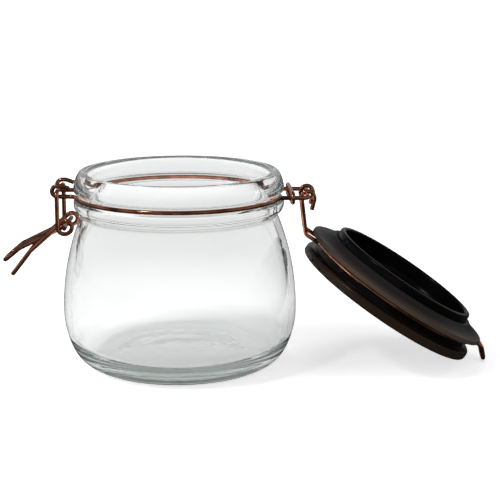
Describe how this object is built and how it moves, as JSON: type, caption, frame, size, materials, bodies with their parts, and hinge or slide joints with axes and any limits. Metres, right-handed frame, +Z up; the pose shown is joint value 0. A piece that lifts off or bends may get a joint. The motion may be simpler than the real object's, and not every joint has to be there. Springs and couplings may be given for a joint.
{
  "type": "lidded glass canister",
  "caption": "Squat clear glass storage jar with a wire clip closure, shown with its black lid swung open on the rear wire hinge and its wire latch undone.",
  "frame": {"origin": "centre of the jar's base, on the table", "axes": "+Z up along the jar's axis; +X from the latch to the lid's hinge; +Y along the hinge bar"},
  "size_m": [0.2273, 0.109, 0.0915],
  "materials": {
    "glass": "polished",
    "wire": "antique copper plate",
    "lid": "gloss",
    "gasket": "satin"
  },
  "bodies": {
    "jar": {"glass_jar": "glass", "neck_ring": "wire", "neck_ring_keeper": "wire"},
    "lid_body": {"lid": "lid", "gasket": "gasket", "lid_ring": "wire"},
    "lever_body": {"lever": "wire"},
    "bail_body": {"bail": "wire"}
  },
  "joints": [
    {"name": "lid_hinge", "type": "hinge", "parent": "jar", "child": "lid_body", "pos_m": [0.0594, 0, 0.0806], "axis": [0, 1, 0], "range_deg": [-213.2, 12]},
    {"name": "lever_pivot", "type": "hinge", "parent": "jar", "child": "lever_body", "pos_m": [-0.0552, 0, 0.0831], "axis": [0, 1, 0], "range_deg": [0, 80]},
    {"name": "bail_pivot", "type": "hinge", "parent": "lever_body", "child": "bail_body", "pos_m": [-0.052, 0, 0.0666], "axis": [0, 1, 0], "range_deg": [0, 50]}
  ]
}
